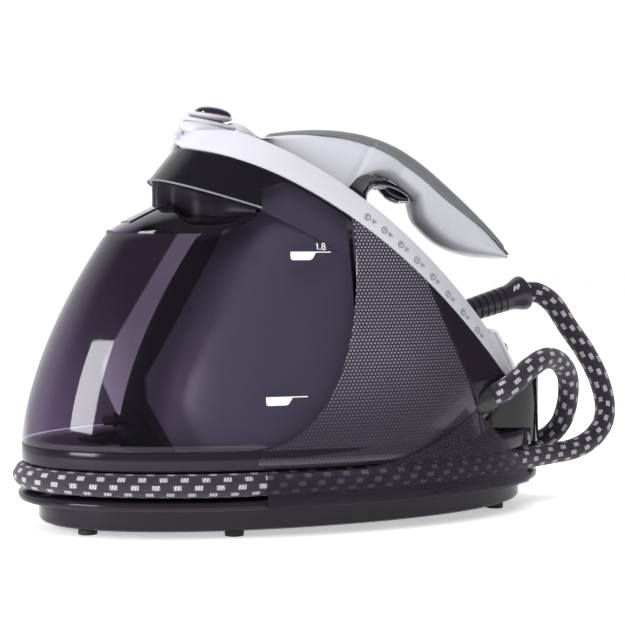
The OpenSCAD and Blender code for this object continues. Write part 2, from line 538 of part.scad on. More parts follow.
base_plinth();
base_rim();
groove_hub();
deck();
feet();
base_screws();
hose_cover_near();
hose_cover_far();
core_shell();
side_panel_near();
side_panel_far();
rear_cover();
rear_block();
platform_rim();
platform_tray();
rest_pads();
lock_housing();
hose_outlet();
mains_inlet();
boiler();
boiler_clamps();
pump();
pump_mounts();
solenoid_valve();
control_board();
water_port();
hose_station();
carry_lock_slide();
power_button();
eco_button();
descale_knob();
tank_shell();
tank_top();
tank_hood();
tank_seal();
fill_door();
soleplate();
heater_casting();
heat_shield();
iron_skirt();
handle_shell();
handle_liner();
grip();
trigger_pin();
trigger_lugs();
steam_switch();
trigger();
cord_gland();
cord_sleeve();
iron_screws();
hose_iron();
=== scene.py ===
# Steam generator iron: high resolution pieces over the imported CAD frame.
# Lengths in the helpers below are millimetres, as in the part's source.
import math
import bmesh
import bpy
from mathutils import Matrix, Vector


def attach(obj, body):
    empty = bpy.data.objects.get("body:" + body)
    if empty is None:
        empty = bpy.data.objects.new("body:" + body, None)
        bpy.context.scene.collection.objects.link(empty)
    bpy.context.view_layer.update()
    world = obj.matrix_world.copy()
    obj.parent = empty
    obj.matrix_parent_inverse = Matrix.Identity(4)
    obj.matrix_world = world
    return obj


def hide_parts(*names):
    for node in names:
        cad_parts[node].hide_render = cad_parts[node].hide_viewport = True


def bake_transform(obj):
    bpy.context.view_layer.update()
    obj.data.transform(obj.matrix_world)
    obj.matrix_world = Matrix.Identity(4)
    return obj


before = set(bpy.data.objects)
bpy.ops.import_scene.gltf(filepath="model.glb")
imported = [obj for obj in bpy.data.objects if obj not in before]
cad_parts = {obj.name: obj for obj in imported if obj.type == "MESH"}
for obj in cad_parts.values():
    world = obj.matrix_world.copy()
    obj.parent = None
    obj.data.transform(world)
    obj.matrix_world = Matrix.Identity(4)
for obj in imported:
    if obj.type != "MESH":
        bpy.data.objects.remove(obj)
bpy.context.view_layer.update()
sin, cos, pi, rad = math.sin, math.cos, math.pi, math.radians


def clamp(v, a=0.0, b=1.0):
    return max(a, min(b, v))


def mix(a, b, t):
    return a + (b - a) * t


def smooth(a, b, x):
    t = clamp((x - a) / (b - a))
    return t * t * (3 - 2 * t)


# ---- camera --------------------------------------------------------------
cam_data = bpy.data.cameras.new("camera")
camera = bpy.data.objects.new("camera", cam_data)
bpy.context.scene.collection.objects.link(camera)
bpy.context.scene.camera = camera
camera.location = (-0.38933, -1.12763, 0.22655)
camera.rotation_euler = (pi / 2 - 0.05, 0, rad(-20))
cam_data.sensor_width, cam_data.lens, cam_data.shift_y = 36, 81.86, 0.0029


# ---- materials -----------------------------------------------------------
class Mat:
    """A material and its node tree, with short calls that add a node and give back its output."""

    def __init__(self, name):
        self.m = bpy.data.materials.new(name)
        self.m.use_nodes = True
        self.t = self.m.node_tree
        self.t.nodes.clear()
        self.out = self.n("OutputMaterial")
        self.b = self.n("BsdfPrincipled")
        self.t.links.new(self.b.outputs[0], self.out.inputs[0])
        self.co = self.n("TexCoord").outputs["Object"]

    def n(self, kind, ins=None, **props):
        node = self.t.nodes.new("ShaderNode" + kind)
        for k, v in props.items():
            setattr(node, k, v)
        for k, v in (ins or {}).items():
            if isinstance(v, bpy.types.NodeSocket):
                self.t.links.new(v, node.inputs[k])
            else:
                node.inputs[k].default_value = v
        return node

    def ma(self, op, a, b=0.0, c=0.0):
        return self.n("Math", {0: a, 1: b, 2: c}, operation=op).outputs[0]

    def noise(self, scale, detail=3.0, rough=0.5, co=None):
        return self.n("TexNoise", {"Vector": co or self.co, "Scale": scale, "Detail": detail,
                                   "Roughness": rough}).outputs["Fac"]

    def remap(self, v, a, b, lo, hi):
        return self.n("MapRange", {"Value": v, "From Min": a, "From Max": b, "To Min": lo,
                                   "To Max": hi}).outputs[0]

    def tint(self, fac, a, b):
        return self.n("Mix", {0: fac, 6: a, 7: b}, data_type="RGBA").outputs[2]

    def bump(self, height, strength, distance=0.001, normal=None):
        ins = {"Height": height, "Strength": strength, "Distance": distance}
        if normal:
            ins["Normal"] = normal
        return self.n("Bump", ins).outputs[0]

    def set(self, **ins):
        for k, v in ins.items():
            s = self.b.inputs[k.replace("_", " ")]
            if isinstance(v, bpy.types.NodeSocket):
                self.t.links.new(v, s)
            else:
                s.default_value = v


def rgb(c, k=1.0):
    return (c[0] * k, c[1] * k, c[2] * k, 1)


def moulded(name, c, rough=0.3, coat=0.0, grain=0.04, size=700, var=0.08, wear=0.12, metal=0.0,
            spec=0.5):
    """Moulded plastic, rubber or metal: uneven colour, smears in the gloss, fine grain, worn edges."""
    m = Mat(name)
    big, mid = m.noise(14, 4), m.noise(75, 6, 0.6)
    base = m.tint(big, rgb(c, 1 - var), rgb(c, 1 + var))
    edge = m.remap(m.n("NewGeometry").outputs["Pointiness"], 0.52, 0.62, 0, wear)
    base = m.tint(edge, base, rgb([min(1, v * 1.6 + 0.05) for v in c]))
    m.set(Base_Color=base, Metallic=metal, Coat_Weight=coat, Coat_Roughness=0.04,
          Roughness=m.remap(mid, 0.3, 0.7, rough * 0.85, rough * 1.2),
          Normal=m.bump(m.noise(size, 2), grain, 0.0004))
    m.b.inputs["Specular IOR Level"].default_value = spec
    return m


def painted_light_shade_mask(m):
    """Mask for painted light and shade: 1 behind a curved line across the tank, where the grey core shows
    lit, 0 in front of it, where tank and core are painted dark; and x.
    The line is fixed to the object: x as a function of z."""
    sep = m.n("SeparateXYZ", {0: m.co})
    x, z = sep.outputs[0], sep.outputs[2]
    edge = m.ma("MULTIPLY_ADD", m.ma("MAXIMUM", m.ma("SUBTRACT", z, 0.125), 0.0), 0.585, -0.142)
    edge = m.ma("MULTIPLY_ADD", m.ma("MAXIMUM", m.ma("SUBTRACT", z, 0.262), 0.0), 1.5, edge)
    edge = m.ma("MULTIPLY_ADD", m.ma("MAXIMUM", m.ma("SUBTRACT", 0.108, z), 0.0), 0.5, edge)
    return m.remap(m.ma("SUBTRACT", x, edge), -0.0012, 0.0012, 0, 1), x


def clear(name, tintc, edge, rough=0.03, inner=None, solid=None, ior=1.42, shine=1.0):
    """Tinted see-through plastic: tinted light comes through, the surface stays glossy."""
    m = Mat(name)
    streak = m.remap(m.noise(9, 3), 0.3, 0.7, 0, 1)
    col = m.tint(streak, rgb(tintc, 0.95), rgb(tintc, 1.05))
    if inner:
        mask, x = painted_light_shade_mask(m)
        # painted shade: from x = -0.2 m rearwards the tank's tint is darkened to 0.45, so the tank front
        # looks dark
        col = m.tint(m.remap(x, -0.200, -0.150, 0, 1), col, rgb(tintc, 0.45))
        # painted light: behind the line the tank takes the much lighter inner tint, so the core shows through
        # lit
        col = m.tint(mask, col, rgb(inner))
    rim = m.n("LayerWeight", {"Blend": 0.3}).outputs["Facing"]
    col = m.tint(m.ma("POWER", rim, 2.5), col, rgb(edge))
    tr = m.n("BsdfTransparent", {"Color": col})
    ro = m.remap(m.noise(60, 5), 0.3, 0.7, rough, rough * 2.0)
    nor = m.bump(m.noise(18, 2), 0.02, 0.001)
    m.set(Base_Color=rgb(edge, 0.8), Roughness=0.3, Normal=nor)
    gl = m.n("BsdfGlossy", {"Color": rgb((0.95, 0.94, 1), shine), "Roughness": ro, "Normal": nor})
    inside = m.n("NewGeometry").outputs["Backfacing"]
    fr = m.n("Fresnel", {"IOR": m.ma("MULTIPLY_ADD", inside, 1 / ior - ior, ior), "Normal": nor}).outputs[0]
    ms = m.n("MixShader", {0: fr, 1: tr.outputs[0], 2: gl.outputs[0]})
    fac = 0.03
    if solid:
        x = m.n("SeparateXYZ", {0: m.co}).outputs[0]
        fac = m.remap(x, solid[0], solid[1], 0.03, 1.0)
    ms = m.n("MixShader", {0: fac, 1: ms.outputs[0], 2: m.b.outputs[0]})
    if solid:
        m.set(Base_Color=(0.006, 0.005, 0.008, 1), Roughness=0.1)
    m.t.links.new(ms.outputs[0], m.out.inputs[0])
    return m


M = {
    "plum": moulded("mat_plum", (0.014, 0.010, 0.017), 0.12, 0.0, spec=0.22),
    "gloss": moulded("mat_gloss", (0.006, 0.005, 0.008), 0.07, 0.0, grain=0.01, spec=0.4),
    "plumsoft": moulded("mat_plum_soft", (0.020, 0.016, 0.026), 0.32, 0.1, grain=0.08, size=1500),
    "black": moulded("mat_black", (0.012, 0.012, 0.014), 0.35),
    "rubber": moulded("mat_rubber", (0.018, 0.018, 0.02), 0.75, grain=0.3, size=1500),
    "white": moulded("mat_white", (0.52, 0.51, 0.56), 0.16, 0.2, grain=0.015, var=0.02, wear=0.02),
    "shellw": moulded("mat_shell_white", (0.56, 0.56, 0.62), 0.24, 0.15, grain=0.02, var=0.02, wear=0.03),
    "grey": moulded("mat_grip", (0.16, 0.165, 0.18), 0.55, grain=0.25, size=1800),
    "purple": moulded("mat_purple", (0.022, 0.011, 0.027), 0.08, 0.25, grain=0.01),
    "satin": moulded("mat_satin", (0.062, 0.058, 0.082), 0.36, 0.0, grain=0.04, size=1200, wear=0),
    "mouth": moulded("mat_mouth", (0.012, 0.008, 0.015), 0.42, spec=0.2),
    "silver": moulded("mat_silver", (0.42, 0.42, 0.45), 0.3, metal=0.6, grain=0.05),
    "steel": moulded("mat_steel", (0.55, 0.55, 0.57), 0.28, metal=1.0, grain=0.1, size=900),
    "chrome": moulded("mat_chrome", (0.75, 0.75, 0.77), 0.08, metal=1.0, grain=0.01),
    "alu": moulded("mat_aluminium", (0.42, 0.42, 0.43), 0.5, metal=0.9, grain=0.4, size=500),
    "brass": moulded("mat_brass", (0.62, 0.46, 0.2), 0.3, metal=1.0, grain=0.1),
    "board": moulded("mat_board", (0.02, 0.12, 0.05), 0.4, grain=0.3, size=400),
    "green": moulded("mat_green", (0.06, 0.22, 0.08), 0.3),
    "mark": moulded("mat_mark", (0.85, 0.85, 0.88), 0.5, grain=0.1, var=0.02),
    "ink": moulded("mat_ink", (0.09, 0.09, 0.11), 0.5, grain=0.1),
    # inner is a painted light tint: the tank turns much clearer behind the lens line, where the lit core
    # shows
    "tank": clear("mat_tank", (0.29, 0.235, 0.335), (0.05, 0.035, 0.07), inner=(0.80, 0.76, 0.84)),
    "dome": clear("mat_dome", (0.29, 0.235, 0.335), (0.05, 0.035, 0.07), solid=(-0.130, -0.112)),
    "smoke": clear("mat_smoke", (0.58, 0.54, 0.63), (0.10, 0.08, 0.12), 0.04, ior=1.45, shine=0.3),
}


# painted shade: the core is painted near black in front of that line, where the tank front looks dark
core_mat = M["satin"]
lit, _ = painted_light_shade_mask(core_mat)
old = core_mat.b.inputs["Base Color"].links[0].from_socket
core_mat.set(Base_Color=core_mat.tint(lit, (0.012, 0.009, 0.014, 1), old))


def hexdots(m, pitch, co):
    """Distance to the nearest point of a hexagonal grid in X and Z, in pitches."""
    sep = m.n("SeparateXYZ", {0: co})
    u = m.ma("DIVIDE", sep.outputs[0], pitch)
    w = m.ma("DIVIDE", sep.outputs[2], pitch * math.sqrt(3))
    best = None
    for o in (0.0, 0.5):
        a = m.ma("SUBTRACT", m.ma("FRACT", m.ma("ADD", u, o)), 0.5)
        b = m.ma("MULTIPLY", m.ma("SUBTRACT", m.ma("FRACT", m.ma("ADD", w, o)), 0.5), math.sqrt(3))
        d = m.ma("SQRT", m.ma("ADD", m.ma("MULTIPLY", a, a), m.ma("MULTIPLY", b, b)))
        best = d if best is None else m.ma("MINIMUM", best, d)
    return best, sep


def dotted(name):
    m = Mat(name)
    d, sep = hexdots(m, 0.003, m.co)
    dot = m.remap(d, 0.24, 0.34, 1, 0)
    x, z = sep.outputs[0], sep.outputs[2]
    low = m.n("MapRange", {"Value": z, "From Min": 0.072, "From Max": 0.150, "To Min": 0.0, "To Max": 1.0},
              interpolation_type="SMOOTHSTEP").outputs[0]
    # painted shade: the dots are dimmed to 0.35 towards the rear and lower right, where less light falls on
    # them
    rear_painted_shade = m.n("MapRange", {"Value": m.ma("MULTIPLY_ADD", z, -0.35, x), "From Min": -0.02, "From Max": 0.075,
                            "To Min": 1.0, "To Max": 0.35}, interpolation_type="SMOOTHSTEP").outputs[0]
    # fade: the dots thin out towards the bottom, times the painted shade towards the rear and a random tone
    fade = m.ma("MULTIPLY", m.ma("MULTIPLY", low, rear_painted_shade), m.remap(m.noise(20, 3), 0.3, 0.7, 0.85, 1.1))
    ground = m.tint(m.noise(14, 3), (0.022, 0.017, 0.028, 1), (0.030, 0.023, 0.038, 1))
    col = m.tint(m.ma("MULTIPLY", dot, fade), ground, (0.22, 0.21, 0.26, 1))
    m.set(Base_Color=col, Roughness=m.remap(dot, 0, 1, 0.22, 0.35), Coat_Weight=0.25,
          Normal=m.bump(dot, 0.35, 0.0004, m.bump(m.noise(900, 2), 0.05, 0.0003)))
    return m


M["dots"] = dotted("mat_dotted")


def braid(name, metres, rows=9, pitch=0.0156):
    """Woven hose sleeve: dark braid with short white stitches in slanting rows, from the tube's UV."""
    m = Mat(name)
    uv = m.n("SeparateXYZ", {0: m.n("UVMap", uv_map="UVMap").outputs[0]})
    along, turn = m.ma("MULTIPLY", uv.outputs[0], metres), uv.outputs[1]
    a = m.ma("MULTIPLY", turn, rows)
    row = m.ma("FLOOR", a)
    fa = m.ma("SUBTRACT", m.ma("FRACT", a), 0.5)
    place = m.ma("ADD", m.ma("DIVIDE", along, pitch), m.ma("DIVIDE", row, 3.0))
    fl = m.ma("SUBTRACT", m.ma("FRACT", place), 0.5)
    jag = m.ma("MULTIPLY", m.ma("SINE", m.ma("MULTIPLY", fa, 34.0)), 0.022)
    inl = m.remap(m.ma("ABSOLUTE", m.ma("ADD", fl, jag)), 0.165, 0.200, 1, 0)
    ina = m.remap(m.ma("ABSOLUTE", fa), 0.265, 0.32, 1, 0)
    stitch = m.ma("SINE", m.ma("MULTIPLY_ADD", fa, 5.0, m.ma("MULTIPLY", along, 2 * pi / 0.0021)))
    dash = m.ma("MULTIPLY", m.ma("MULTIPLY", inl, ina), m.remap(stitch, -0.95, -0.45, 0.12, 1))
    lay, spin = m.ma("MULTIPLY", along, 2 * pi / 0.0026), m.ma("MULTIPLY", turn, 2 * pi * 27)
    k1, k2 = m.ma("SINE", m.ma("ADD", lay, spin)), m.ma("SINE", m.ma("SUBTRACT", lay, spin))
    weave = m.ma("MAXIMUM", k1, k2)
    thread = m.remap(k1, -1, 0.1, 0.35, 1)
    fuzz = m.noise(2600, 3)
    dark = m.tint(m.ma("MULTIPLY", m.remap(weave, -0.6, 1, 0, 1), fuzz),
                  (0.008, 0.005, 0.010, 1), (0.045, 0.030, 0.052, 1))
    white = m.tint(m.ma("MULTIPLY", thread, m.remap(fuzz, 0.3, 0.7, 0.8, 1.0)),
                   (0.22, 0.20, 0.24, 1), (0.62, 0.60, 0.66, 1))
    m.set(Base_Color=m.tint(dash, dark, white), Roughness=m.remap(fuzz, 0.3, 0.7, 0.62, 0.85),
          Sheen_Weight=0.25, Sheen_Roughness=0.4,
          Normal=m.bump(m.ma("ADD", m.ma("MULTIPLY", weave, 0.6), m.ma("MULTIPLY", dash, 0.8)), 0.6, 0.0006,
                        m.bump(fuzz, 0.25, 0.0003)))
    return m


# ---- mesh helpers --------------------------------------------------------
def make(name, pts, faces, body, slot, mat, nodes=(), solid=0.0, bevel=0.0, seg=3,
         sharp=38, centre=None, uvs=None):
    """Add one piece from points in mm. Its faces turn away from centre; solid thickens a sheet inwards."""
    me = bpy.data.meshes.new(name)
    me.from_pydata([(x / 1000, y / 1000, z / 1000) for x, y, z in pts], [], faces)
    if uvs:
        layer = me.uv_layers.new(name="UVMap")
        for loop in me.loops:
            layer.data[loop.index].uv = uvs[loop.index]
    bm = bmesh.new()
    bm.from_mesh(me)
    if not uvs:
        bmesh.ops.remove_doubles(bm, verts=bm.verts, dist=2e-6)
        bmesh.ops.dissolve_degenerate(bm, edges=bm.edges, dist=1e-6)
    bmesh.ops.recalc_face_normals(bm, faces=bm.faces)
    c0 = Vector(centre) / 1000 if centre else sum((v.co for v in bm.verts), Vector()) / len(bm.verts)
    if sum(f.calc_area() * f.normal.dot((f.calc_center_median() - c0).normalized()) for f in bm.faces) < 0:
        bmesh.ops.reverse_faces(bm, faces=bm.faces)
    bm.to_mesh(me)
    bm.free()
    o = bpy.data.objects.new(name, me)
    bpy.context.scene.collection.objects.link(o)
    if solid:
        s = o.modifiers.new("solid", "SOLIDIFY")
        s.thickness, s.offset = solid / 1000, -1
    if bevel:
        s = o.modifiers.new("bevel", "BEVEL")
        s.width, s.segments, s.limit_method, s.angle_limit = bevel / 1000, seg, "ANGLE", rad(42)
    if o.modifiers:
        dg = bpy.context.evaluated_depsgraph_get()
        new = bpy.data.meshes.new_from_object(o.evaluated_get(dg))
        o.modifiers.clear()
        o.data = new
    o.data.shade_smooth()
    o.data.set_sharp_from_angle(angle=rad(sharp))
    o.data.materials.clear()
    o.data.materials.append(M[mat].m)
    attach(o, body)
    if nodes:
        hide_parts(*nodes)
    return o


def quads(nu, nv, base=0, wrap=False):
    """Faces of a grid of nu by nv cells; wrap joins its last row to the first."""
    w = nv + 1
    n = nu + 1
    return [(base + i * w + j, base + ((i + 1) % n if wrap else i + 1) * w + j,
             base + ((i + 1) % n if wrap else i + 1) * w + j + 1, base + i * w + j + 1)
            for i in range(n if wrap else nu) for j in range(nv)]


def grid(f, nu, nv, wrap=False):
    """Sheet of the points f(u, v), with u and v from 0 to 1."""
    n = nu if wrap else nu + 1
    pts = [f(i / nu, j / nv) for i in range(n) for j in range(nv + 1)]
    return pts, quads(n - 1, nv, 0, wrap)


def join(*parts):
    pts, faces = [], []
    for p, f in parts:
        k = len(pts)
        pts += p
        faces += [tuple(i + k for i in q) for q in f]
    return pts, faces


def around(xa, xb, zl, zh, y, nu=110, nv=24, p=2.3, cap=0, crown=0.0, it=30, end=0):
    """Skin wrapped round the body from the near side (s < 0) to the far side (s > 0). The sides meet
    at x = xa(z) and end at xb(z); cap closes the top with that many strips, end closes the open end."""
    pts, rows = [], {}
    for i in range(-nu, nu + 1):
        s = i / nu
        z = zl(xb(120.0))
        for j in range(nv + 1):
            for _ in range(it):
                x = xa(z) + (xb(z) - xa(z)) * abs(s) ** p
                z = zl(x) + (zh(x) - zl(x)) * j / nv
            pts.append((x, 0.0 if i == 0 else math.copysign(y(x, z), s), z))
            rows[i, j] = (x, z)
    faces = quads(2 * nu, nv)
    if cap:
        def top(i, k):
            x, z = rows[i, nv]
            if i == 0:
                return (x, 0, z)
            h = y(x, z)
            return (x, mix(-h, h, k), z + crown * (1 - (2 * k - 1) ** 2))
        q = [top(i, k / cap) for i in range(nu + 1) for k in range(cap + 1)]
        pts, faces = join((pts, faces), (q, quads(nu, cap)))
    if end:
        q = []
        for j in range(nv + 1):
            x, z = rows[nu, j]
            h = y(x, z)
            q += [(x, mix(-h, h, k / end), z) for k in range(end + 1)]
        pts, faces = join((pts, faces), (q, quads(nv, end)))
    return pts, faces


def loft(sections):
    """Closed rings, all of the same length, skinned in order; the end rings are filled."""
    n = len(sections[0])
    pts = [p for s in sections for p in s]
    faces = [(i * n + k, i * n + (k + 1) % n, (i + 1) * n + (k + 1) % n, (i + 1) * n + k)
             for i in range(len(sections) - 1) for k in range(n)]
    faces += [tuple(range(n - 1, -1, -1)), tuple(range((len(sections) - 1) * n, len(sections) * n))]
    return pts, faces


def lathe(profile, origin, axis, n=64):
    """Rings of (radius, height) round an axis."""
    a = Vector(axis).normalized()
    u = a.orthogonal().normalized()
    w = a.cross(u)
    o = Vector(origin)
    turn = [u * cos(2 * pi * k / n) + w * sin(2 * pi * k / n) for k in range(n)]
    return loft([[tuple(o + a * h + t * r) for t in turn] for r, h in profile])


# ---- outline of the body, as in the part's source --------------------------
A_RIM, B_RIM = 226.0, 116.0    # half length and half width of the base rim
XM = 20.0                      # where the body is widest
SLOPE_DEG = 36.6               # slope of the platform
SLOPE = rad(SLOPE_DEG)
X_HOOD = -46.0                 # rear edge of the tank's hood and deck
X_WALL_END = 26.5              # rear end of the tank wall's top edge
HOSE_R = 9.0
Z_GROOVE = 43.5                # middle of the hose in the groove


def xf(z):
    return -223 + 71 * (max(0, z - 60) / 177) ** 1.7


def xr(z):
    return 201 - 0.54 * (z - 116) if z > 116 else 173 + 28 * (max(0, z - 80) / 36) ** 0.8


def hw(z):
    return 113 - 50 * (max(0, z - 60) / 240) ** 1.25


def yb(x, z, d=0.0, f=0.0):
    a = (XM - x) / (XM - xf(z) - f - d) if x < XM else (x - XM) / (xr(z) - d - XM)
    n = 2.3 if x < XM else 2.6
    return 0.4 if a >= 1 else max(0.4, (hw(z) - d) * (1 - max(0, a) ** n) ** (1 / n))


def z_low_raw(x):
    return 301 - 0.25 * (x + 88) - 0.0019 * (x + 88) ** 2


def z_low(x):
    return 301 + 0.3 * (-88 - x) if x < -88 else max(116, z_low_raw(x))


def z_band(x):
    return z_low(x) + 23 - 0.25 * (-60 - x) if x < -60 else max(152, z_low_raw(x) + 23)


def z_deck(x):
    return 234 if x < -85 else 234 + 19 * ((x + 85) / 40) ** 1.3


def z_lip(x):
    return 277 - 0.32 * (x + 118)


def xt(z):
    q = clamp((z - 70) / 170)
    return -64 + 89.4 * math.sqrt(max(0, 1 - (1 - q) ** 2.3))


def z_crown(x):
    if x < -108:
        return 237 + 22 * (max(0, x + 150) / 42) ** 0.9
    return 259 - 10 * sin((x + 108) / 12 * pi / 2) if x < -96 else 249 + 0.02 * (x + 96)


def park(u, y, w):
    return (37 + u * cos(SLOPE) + w * sin(SLOPE), y, 227 - u * sin(SLOPE) + w * cos(SLOPE))


def on_park(part):
    return [park(*p) for p in part[0]], part[1]


def plate_y(x, a, b, n=2.1):
    return b * max(1e-4, 1 - min(1, abs(x) / a) ** n) ** (1 / n)


# ---- hose ----------------------------------------------------------------
def groove(t, o):
    """Point in the groove at angle t, o inside the rim."""
    return ((A_RIM - o) * cos(rad(t)), -(B_RIM - o) * sin(rad(t)), Z_GROOVE)


HOSE = [(215.2, 0, 180.9), (232, -1, 183), (249, -3, 173), (264, -6, 151), (278, -12, 129),
        (288, -18, 106), (292, -23, 84), (286, -30, 67), (271, -36, 54), (250, -41, 46.5),
        (226, -46, 44.5), (197, -55, Z_GROOVE)]
HOSE += [groove(t, 11 if t < 104 or t > 256 else 5) for t in range(44, 321, 17)]
HOSE += [(184, 54, Z_GROOVE), (207, 36, Z_GROOVE), (226, 15, 45), (239, -6, 51), (246, -22, 65),
         (248, -31, 82), (246, -38, 98), (240, -46, 112), (227, -56, 124), (207, -69, 129.5),
         (185, -81, 123.5), (163, -88.5, 110), (143, -86, 99)]


def spline(p, k):
    p = [Vector(q) for q in p]
    n, out = len(p) - 1, []
    for i in range(n):
        a, b, c, d = p[max(0, i - 1)], p[i], p[i + 1], p[min(n, i + 2)]
        for j in range(k):
            t = j / k
            out.append(0.5 * (2 * b + (c - a) * t + (2 * a - 5 * b + 4 * c - d) * t * t
                              + (3 * b - a - 3 * c + d) * t ** 3))
    return out + [p[-1]]


def even(c, gap):
    out, left = [c[0]], gap
    for a, b in zip(c, c[1:]):
        d = (b - a).length
        while left < d:
            out.append(a + (b - a) * (left / d))
            left += gap
        left -= d
    return out + [c[-1]]


def length(c):
    return sum((b - a).length for a, b in zip(c, c[1:]))


fine = spline(HOSE, 24)
HOSE_MM = length(fine)
route = even(fine, 2.0)
M["braid"] = braid("mat_braid", HOSE_MM / 1000)
n_r, n_a = len(route), 28
pts = []
side = Vector((0, 1, 0))
for i, c in enumerate(route):
    tan = (route[min(i + 1, n_r - 1)] - route[max(i - 1, 0)]).normalized()
    side = (side - tan * side.dot(tan)).normalized()
    up = tan.cross(side)
    for k in range(n_a):
        pts.append(tuple(c + (side * cos(2 * pi * k / n_a) + up * sin(2 * pi * k / n_a)) * HOSE_R))
faces, uvs = [], []
for i in range(n_r - 1):
    for k in range(n_a):
        faces.append((i * n_a + k, i * n_a + (k + 1) % n_a, (i + 1) * n_a + (k + 1) % n_a, (i + 1) * n_a + k))
        u0, u1 = i / (n_r - 1), (i + 1) / (n_r - 1)
        uvs += [(u0, k / n_a), (u0, (k + 1) / n_a), (u1, (k + 1) / n_a), (u1, k / n_a)]
me = bpy.data.meshes.new("steam_hose")
me.from_pydata([(x / 1000, y / 1000, z / 1000) for x, y, z in pts], [], faces)
layer = me.uv_layers.new(name="UVMap")
for i, uv in enumerate(uvs):
    layer.data[i].uv = uv
me.shade_smooth()
me.materials.append(M["braid"].m)
hose = bpy.data.objects.new("steam_hose", me)
bpy.context.scene.collection.objects.link(hose)
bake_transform(hose)
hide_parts("hose_station", "hose_iron")


# ---- base ----------------------------------------------------------------
def ring(name, a, b, profile, body, slot, mat, nodes, n=220, **kw):
    """A profile of (inset, z) swept round the oval plan of the base."""
    sec = []
    for i in range(n):
        t = 2 * pi * i / n
        c, s = cos(t), sin(t)
        row = []
        for o, z in profile:
            row.append((math.copysign(abs(c) ** (2 / 2.1), c) * (a - o),
                        math.copysign(abs(s) ** (2 / 2.1), s) * (b - o), z))
        sec.append(row)
    m = len(profile)
    pts = [p for s in sec for p in s]
    faces = [(i * m + k, ((i + 1) % n) * m + k, ((i + 1) % n) * m + (k + 1) % m, i * m + (k + 1) % m)
             for i in range(n) for k in range(m)]
    return make(name, pts, faces, body, slot, mat, nodes, **kw)


def disc(a, b, z, n=220, rings=6):
    def f(u, v):
        c, s = cos(2 * pi * u), sin(2 * pi * u)
        x, y = abs(c) ** (2 / 2.1) * a * v, abs(s) ** (2 / 2.1) * b * v
        return (math.copysign(x, c), math.copysign(y, s), z)
    return grid(f, n, rings, wrap=True)


ring("base_plinth_skin", 210, 100, [(6, 5.5), (1.5, 7), (0, 10), (0, 24.6), (14, 24.6), (14, 9)],
     "station", "plum_plastic", "plum", ["base_plinth"], bevel=0.6, sharp=50)
make("base_floor", *disc(205, 95, 5.6), "station", "plum_plastic", "plum")
ring("base_rim_skin", A_RIM, B_RIM,
     [(41, 24.5), (2.2, 24.5), (0.5, 25.3), (0, 26.6), (0, 28.6), (0.8, 30.2), (2.6, 31), (41, 31)],
     "station", "plum_plastic", "plum", ["base_rim"], sharp=50)
ring("groove_hub_skin", 197, 87, [(0, 30.9), (0, 54.1), (3, 54.1), (3, 30.9)], "station", "plum_plastic",
     "plum", ["groove_hub"], bevel=0.5)
ring("deck_skin", 223, 113, [(44, 54), (2.4, 54), (0.6, 54.6), (0, 56), (0, 67.8), (0.5, 68.7), (1.4, 69),
                             (44, 69)], "station", "plum_plastic", "plum", ["deck"], sharp=50)


def z_cover(x):
    return 53 if x < 0 else 53 + 40 * (x / 125) ** 2.2 if x < 125 else 93 - 0.9 * (x - 125)


def y_cover(x, z):
    return max(plate_y(x, A_RIM + 0.6, B_RIM + 0.6), yb(x, z) + 0.7 if z > 52 else 0)


for s, tag in ((-1, "near"), (1, "far")):
    def f(u, v):
        x = mix(-57, 192, u)
        z = mix(25, z_cover(x), v)
        return (x, s * (y_cover(x, z) + 2.2), z)
    make("hose_cover_" + tag + "_skin", *grid(f, 140, 30), "station", "smoky_cover", "smoke",
         ["hose_cover_" + tag], solid=0.9, bevel=0.3, centre=(78, 0, 50))


# ---- housing ---------------------------------------------------------------
def fixed(c):
    return lambda *_: c


def z_wall(x):
    return z_deck(x) if x < X_HOOD else z_low(x) - 1


def y_wall(x, z):
    r = 6.0
    t = clamp((z - (z_wall(x) - r)) / r) if x < -44 else 0
    b = clamp((72.5 - z) / 3)
    return max(0.4, yb(x, z) - 3.0 * (1 - math.sqrt(1 - min(0.9999, t * t))) - 0.8 * b * b)


NV = 56


def z_foot(x):
    return 69.4 if x < -64 else 70 + 170 * (1 - (1 - min(0.99, (x + 64) / 89.4) ** 2) ** (1 / 2.3))


front = around(xf, fixed(X_HOOD), z_foot, z_deck, y_wall, nu=110, nv=NV, p=2.3, it=12)


def wall_rear(s):
    def f(u, v):
        z = 73.0
        k = 0.845
        for _ in range(20):
            x = mix(X_HOOD, max(X_HOOD, xt(z)), u)
            z = mix(72.98, 252.6, v / k) if v <= k else mix(252.6, z_low(x) - 1, (v - k) / (1 - k))
        return (x, s * yb(x, z), z)
    return grid(f, 50, 66)


make("tank_wall", *join(front, wall_rear(-1), wall_rear(1)), "tank", "clear_tank", "tank",
     ["tank_shell"], centre=(-60, 0, 150), sharp=60)


def dome(u, v):
    x = -153.9 + (X_HOOD + 153.9) * v ** 2
    b = z_deck(x)
    c = max(b + 1, z_crown(x))
    h = max(0.0, yb(x, b) - 3)
    q = sin(pi / 2 * (2 * u - 1))
    return (x, h * q, b + (c - b + 0.2) * max(0, 1 - q * q) ** (1 / 2.4))


make("tank_dome", *grid(dome, 60, 90), "tank", "clear_tank", "dome", ["tank_top"], centre=(-60, 0, 200))


def flap(u, v):
    x, y = mix(-139.5, -108.5, v), mix(-17, 17, u)
    b = z_deck(x)
    h = max(18, yb(x, b) - 3)
    c = max(b + 1, z_crown(x))
    return (x, y, b + (c - b + 0.2) * max(0, 1 - (y / h) ** 2) ** (1 / 2.4) + 1.1)


make("fill_flap", *grid(flap, 24, 24), "tank_flap", "purple_plastic", "purple", ["fill_door"],
     solid=1.0, bevel=0.3, centre=(-120, 0, 150))

